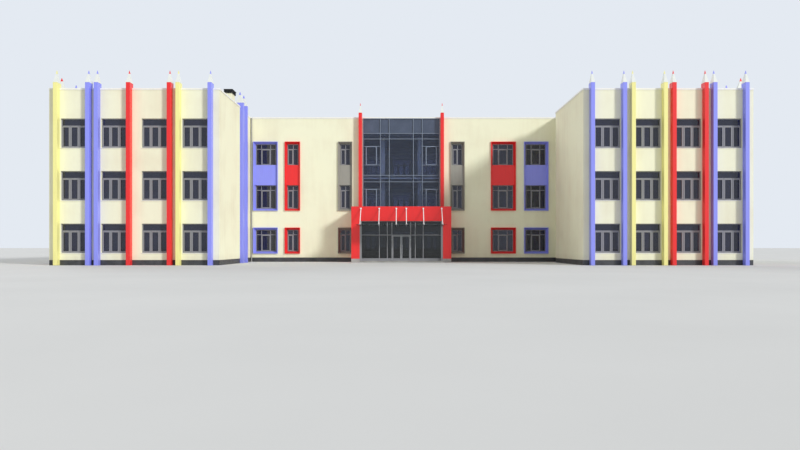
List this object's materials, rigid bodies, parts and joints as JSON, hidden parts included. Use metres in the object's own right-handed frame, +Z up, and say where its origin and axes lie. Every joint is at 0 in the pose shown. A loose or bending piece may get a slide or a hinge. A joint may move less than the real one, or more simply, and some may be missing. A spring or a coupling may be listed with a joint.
{
  "type": "school building, 1:2 scale model",
  "caption": "School building at 1:2 scale: U-shaped, flat-roofed, with a glazed entrance porch under a rod-hung canopy, coloured window surrounds and pencil-shaped pillars.",
  "frame": {"origin": "middle of the footprint, pillars included, at ground level", "axes": "+X to the right along the front, +Y from the front to the rear, +Z up"},
  "size_m": [24.52, 11.85, 6.645],
  "materials": {
    "cream_render": "smooth painted render, warm cream",
    "concrete": "plain concrete",
    "roofing": "mineral felt with fine grit",
    "plinth_stone": "dark grey stone tile",
    "base_stone": "light grey stone",
    "coping_metal": "folded sheet, off-white coat",
    "blue_paint": "satin coat, lavender blue",
    "red_paint": "satin coat, signal red",
    "yellow_paint": "satin coat, light yellow",
    "grey_paint": "satin coat, warm grey",
    "tip_white": "satin coat, off-white",
    "frame_aluminium": "powder-coated aluminium, light grey",
    "window_glass": "dark tinted double glazing",
    "spandrel_glass": "back-painted grey glass",
    "canopy_glass": "clear laminated glass",
    "porch_render": "smooth painted render, red",
    "stainless": "brushed",
    "rod_paint": "gloss white coat",
    "dark_metal": "dark sheet metal",
    "pipe_metal": "grey-coated steel tube"
  },
  "bodies": {
    "building": {"front_walls": "cream_render", "outer_walls": "cream_render", "inner_walls": "cream_render", "rear_wall": "cream_render", "court_walls": "cream_render", "entrance_beams": "concrete", "plinth": "plinth_stone", "parapet_coping": "coping_metal", "ground_slab": "concrete", "first_floor": "concrete", "second_floor": "concrete", "roof_slab": "roofing", "hall_columns": "concrete", "window_glass": "window_glass", "court_glass": "window_glass", "surrounds_blue": "blue_paint", "surrounds_red": "red_paint", "surrounds_grey": "grey_paint", "curtain_frame": "frame_aluminium", "curtain_glass": "window_glass", "curtain_spandrels": "spandrel_glass", "porch_walls": "porch_render", "porch_roof": "roofing", "porch_floor": "concrete", "portal_lintel": "red_paint", "portal_legs": "red_paint", "portal_bases": "base_stone", "entrance_sidelights": "frame_aluminium", "entrance_transom": "frame_aluminium", "entrance_glass": "window_glass", "door_hinges": "stainless", "canopy_glass": "canopy_glass", "canopy_arms": "stainless", "canopy_rods": "rod_paint", "pencil_barrels_blue": "blue_paint", "pencil_barrels_red": "red_paint", "pencil_barrels_yellow": "yellow_paint", "pencil_tips": "tip_white", "pencil_leads_blue": "blue_paint", "pencil_leads_red": "red_paint", "pencil_leads_yellow": "yellow_paint", "vent_stack": "cream_render", "vent_hood": "dark_metal", "downpipe": "pipe_metal"},
    "door_left": {"door_leaf_left": "frame_aluminium", "door_glass_left": "window_glass", "door_pull_left": "stainless"},
    "door_right": {"door_leaf_right": "frame_aluminium", "door_glass_right": "window_glass", "door_pull_right": "stainless"}
  },
  "joints": [
    {"name": "door_left_hinge", "type": "hinge", "parent": "building", "child": "door_left", "pos_m": [-0.3625, -1.445, 0.585], "axis": [0, 0, -1], "range_deg": [0, 90]},
    {"name": "door_right_hinge", "type": "hinge", "parent": "building", "child": "door_right", "pos_m": [0.3625, -1.445, 0.585], "axis": [0, 0, 1], "range_deg": [0, 90]}
  ]
}
